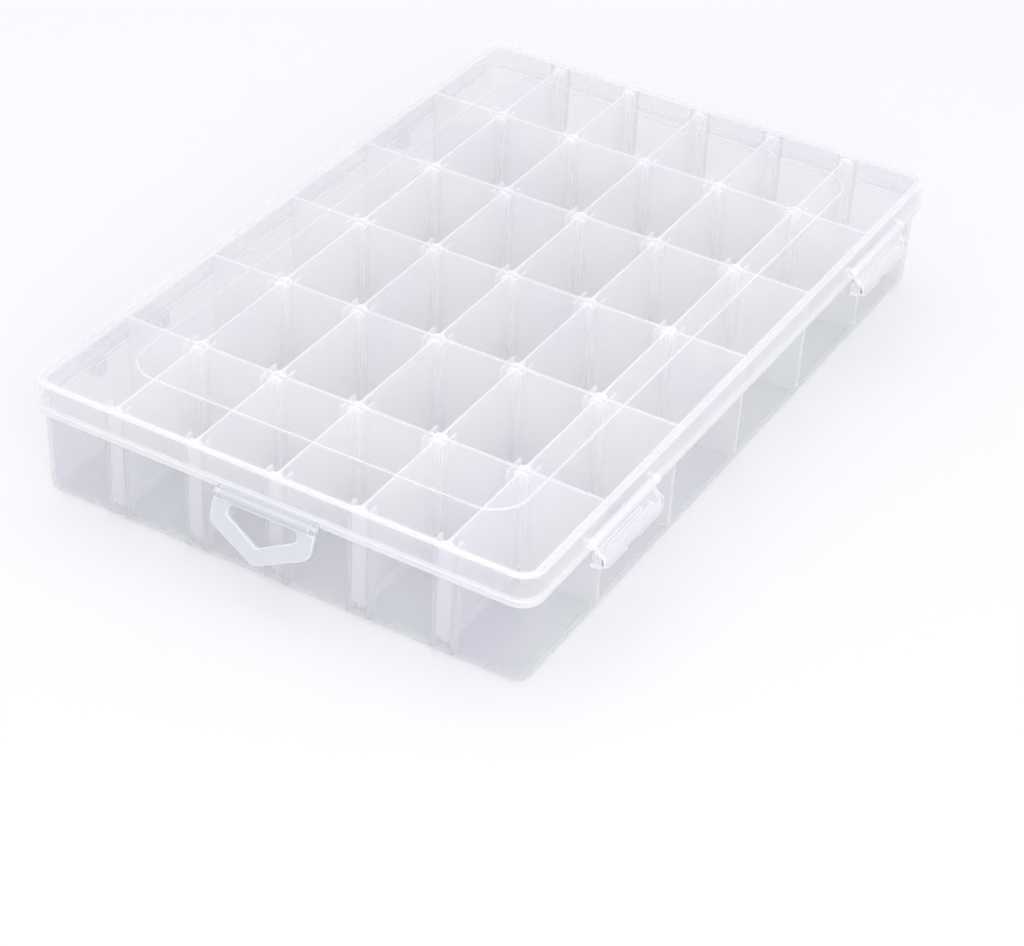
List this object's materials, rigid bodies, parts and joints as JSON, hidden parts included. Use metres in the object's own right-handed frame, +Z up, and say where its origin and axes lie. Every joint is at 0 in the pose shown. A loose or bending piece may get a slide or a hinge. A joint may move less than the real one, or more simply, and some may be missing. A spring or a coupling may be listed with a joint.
{
  "type": "embroidery thread box",
  "caption": "Shallow clear plastic box with a hinged lid, snap latches, a hang tab and lift-out dividers that part a grid of compartments for thread bobbins.",
  "frame": {"origin": "centre of the tray's underside", "axes": "+X along the long side, away from the hang tab; +Y from the latches to the hinges; +Z up out of the tray"},
  "size_m": [0.2825, 0.1888, 0.0424],
  "materials": {
    "tray_polypropylene": "translucent, soft gloss",
    "lid_polypropylene": "translucent, soft gloss",
    "latch_polypropylene": "translucent, soft gloss",
    "divider_polypropylene": "translucent, soft gloss",
    "tab_polypropylene": "milky, soft gloss"
  },
  "bodies": {
    "tray": {"tray": "tray_polypropylene"},
    "lid": {"lid": "lid_polypropylene"},
    "latch_left": {"latch_left": "latch_polypropylene"},
    "latch_right": {"latch_right": "latch_polypropylene"},
    "hang_tab": {"hang_tab": "tab_polypropylene"},
    "divider_c1_r1": {"divider_c1_r1": "divider_polypropylene"},
    "divider_c1_r2": {"divider_c1_r2": "divider_polypropylene"},
    "divider_c1_r3": {"divider_c1_r3": "divider_polypropylene"},
    "divider_c1_r4": {"divider_c1_r4": "divider_polypropylene"},
    "divider_c1_r5": {"divider_c1_r5": "divider_polypropylene"},
    "divider_c2_r1": {"divider_c2_r1": "divider_polypropylene"},
    "divider_c2_r2": {"divider_c2_r2": "divider_polypropylene"},
    "divider_c2_r3": {"divider_c2_r3": "divider_polypropylene"},
    "divider_c2_r4": {"divider_c2_r4": "divider_polypropylene"},
    "divider_c2_r5": {"divider_c2_r5": "divider_polypropylene"},
    "divider_c3_r1": {"divider_c3_r1": "divider_polypropylene"},
    "divider_c3_r2": {"divider_c3_r2": "divider_polypropylene"},
    "divider_c3_r3": {"divider_c3_r3": "divider_polypropylene"},
    "divider_c3_r4": {"divider_c3_r4": "divider_polypropylene"},
    "divider_c3_r5": {"divider_c3_r5": "divider_polypropylene"},
    "divider_c4_r1": {"divider_c4_r1": "divider_polypropylene"},
    "divider_c4_r2": {"divider_c4_r2": "divider_polypropylene"},
    "divider_c4_r3": {"divider_c4_r3": "divider_polypropylene"},
    "divider_c4_r4": {"divider_c4_r4": "divider_polypropylene"},
    "divider_c4_r5": {"divider_c4_r5": "divider_polypropylene"},
    "divider_c5_r1": {"divider_c5_r1": "divider_polypropylene"},
    "divider_c5_r2": {"divider_c5_r2": "divider_polypropylene"},
    "divider_c5_r3": {"divider_c5_r3": "divider_polypropylene"},
    "divider_c5_r4": {"divider_c5_r4": "divider_polypropylene"},
    "divider_c5_r5": {"divider_c5_r5": "divider_polypropylene"},
    "divider_c6_r1": {"divider_c6_r1": "divider_polypropylene"},
    "divider_c6_r2": {"divider_c6_r2": "divider_polypropylene"},
    "divider_c6_r3": {"divider_c6_r3": "divider_polypropylene"},
    "divider_c6_r4": {"divider_c6_r4": "divider_polypropylene"},
    "divider_c6_r5": {"divider_c6_r5": "divider_polypropylene"}
  },
  "joints": [
    {"name": "lid_hinge", "type": "hinge", "parent": "tray", "child": "lid", "pos_m": [0, 0.0917, 0.0281], "axis": [-1, 0, 0], "range_deg": [0, 180]},
    {"name": "latch_left_hinge", "type": "hinge", "parent": "lid", "child": "latch_left", "pos_m": [-0.088, -0.0904, 0.0366], "axis": [-1, 0, 0], "range_deg": [0, 75]},
    {"name": "latch_right_hinge", "type": "hinge", "parent": "lid", "child": "latch_right", "pos_m": [0.088, -0.0904, 0.0366], "axis": [-1, 0, 0], "range_deg": [0, 75]},
    {"name": "hang_tab_hinge", "type": "hinge", "parent": "tray", "child": "hang_tab", "pos_m": [-0.1382, 0, 0.0301], "axis": [0, 1, 0], "range_deg": [-22, 68]},
    {"name": "divider_c1_r1_lift", "type": "slide", "parent": "tray", "child": "divider_c1_r1", "axis": [0, 0, 1], "range_m": [0, 0.0008]},
    {"name": "divider_c1_r2_lift", "type": "slide", "parent": "tray", "child": "divider_c1_r2", "axis": [0, 0, 1], "range_m": [0, 0.0008]},
    {"name": "divider_c1_r3_lift", "type": "slide", "parent": "tray", "child": "divider_c1_r3", "axis": [0, 0, 1], "range_m": [0, 0.0008]},
    {"name": "divider_c1_r4_lift", "type": "slide", "parent": "tray", "child": "divider_c1_r4", "axis": [0, 0, 1], "range_m": [0, 0.0008]},
    {"name": "divider_c1_r5_lift", "type": "slide", "parent": "tray", "child": "divider_c1_r5", "axis": [0, 0, 1], "range_m": [0, 0.0008]},
    {"name": "divider_c2_r1_lift", "type": "slide", "parent": "tray", "child": "divider_c2_r1", "axis": [0, 0, 1], "range_m": [0, 0.0008]},
    {"name": "divider_c2_r2_lift", "type": "slide", "parent": "tray", "child": "divider_c2_r2", "axis": [0, 0, 1], "range_m": [0, 0.0008]},
    {"name": "divider_c2_r3_lift", "type": "slide", "parent": "tray", "child": "divider_c2_r3", "axis": [0, 0, 1], "range_m": [0, 0.0008]},
    {"name": "divider_c2_r4_lift", "type": "slide", "parent": "tray", "child": "divider_c2_r4", "axis": [0, 0, 1], "range_m": [0, 0.0008]},
    {"name": "divider_c2_r5_lift", "type": "slide", "parent": "tray", "child": "divider_c2_r5", "axis": [0, 0, 1], "range_m": [0, 0.0008]},
    {"name": "divider_c3_r1_lift", "type": "slide", "parent": "tray", "child": "divider_c3_r1", "axis": [0, 0, 1], "range_m": [0, 0.0008]},
    {"name": "divider_c3_r2_lift", "type": "slide", "parent": "tray", "child": "divider_c3_r2", "axis": [0, 0, 1], "range_m": [0, 0.0008]},
    {"name": "divider_c3_r3_lift", "type": "slide", "parent": "tray", "child": "divider_c3_r3", "axis": [0, 0, 1], "range_m": [0, 0.0008]},
    {"name": "divider_c3_r4_lift", "type": "slide", "parent": "tray", "child": "divider_c3_r4", "axis": [0, 0, 1], "range_m": [0, 0.0008]},
    {"name": "divider_c3_r5_lift", "type": "slide", "parent": "tray", "child": "divider_c3_r5", "axis": [0, 0, 1], "range_m": [0, 0.0008]},
    {"name": "divider_c4_r1_lift", "type": "slide", "parent": "tray", "child": "divider_c4_r1", "axis": [0, 0, 1], "range_m": [0, 0.0008]},
    {"name": "divider_c4_r2_lift", "type": "slide", "parent": "tray", "child": "divider_c4_r2", "axis": [0, 0, 1], "range_m": [0, 0.0008]},
    {"name": "divider_c4_r3_lift", "type": "slide", "parent": "tray", "child": "divider_c4_r3", "axis": [0, 0, 1], "range_m": [0, 0.0008]},
    {"name": "divider_c4_r4_lift", "type": "slide", "parent": "tray", "child": "divider_c4_r4", "axis": [0, 0, 1], "range_m": [0, 0.0008]},
    {"name": "divider_c4_r5_lift", "type": "slide", "parent": "tray", "child": "divider_c4_r5", "axis": [0, 0, 1], "range_m": [0, 0.0008]},
    {"name": "divider_c5_r1_lift", "type": "slide", "parent": "tray", "child": "divider_c5_r1", "axis": [0, 0, 1], "range_m": [0, 0.0008]},
    {"name": "divider_c5_r2_lift", "type": "slide", "parent": "tray", "child": "divider_c5_r2", "axis": [0, 0, 1], "range_m": [0, 0.0008]},
    {"name": "divider_c5_r3_lift", "type": "slide", "parent": "tray", "child": "divider_c5_r3", "axis": [0, 0, 1], "range_m": [0, 0.0008]},
    {"name": "divider_c5_r4_lift", "type": "slide", "parent": "tray", "child": "divider_c5_r4", "axis": [0, 0, 1], "range_m": [0, 0.0008]},
    {"name": "divider_c5_r5_lift", "type": "slide", "parent": "tray", "child": "divider_c5_r5", "axis": [0, 0, 1], "range_m": [0, 0.0008]},
    {"name": "divider_c6_r1_lift", "type": "slide", "parent": "tray", "child": "divider_c6_r1", "axis": [0, 0, 1], "range_m": [0, 0.0008]},
    {"name": "divider_c6_r2_lift", "type": "slide", "parent": "tray", "child": "divider_c6_r2", "axis": [0, 0, 1], "range_m": [0, 0.0008]},
    {"name": "divider_c6_r3_lift", "type": "slide", "parent": "tray", "child": "divider_c6_r3", "axis": [0, 0, 1], "range_m": [0, 0.0008]},
    {"name": "divider_c6_r4_lift", "type": "slide", "parent": "tray", "child": "divider_c6_r4", "axis": [0, 0, 1], "range_m": [0, 0.0008]},
    {"name": "divider_c6_r5_lift", "type": "slide", "parent": "tray", "child": "divider_c6_r5", "axis": [0, 0, 1], "range_m": [0, 0.0008]}
  ]
}
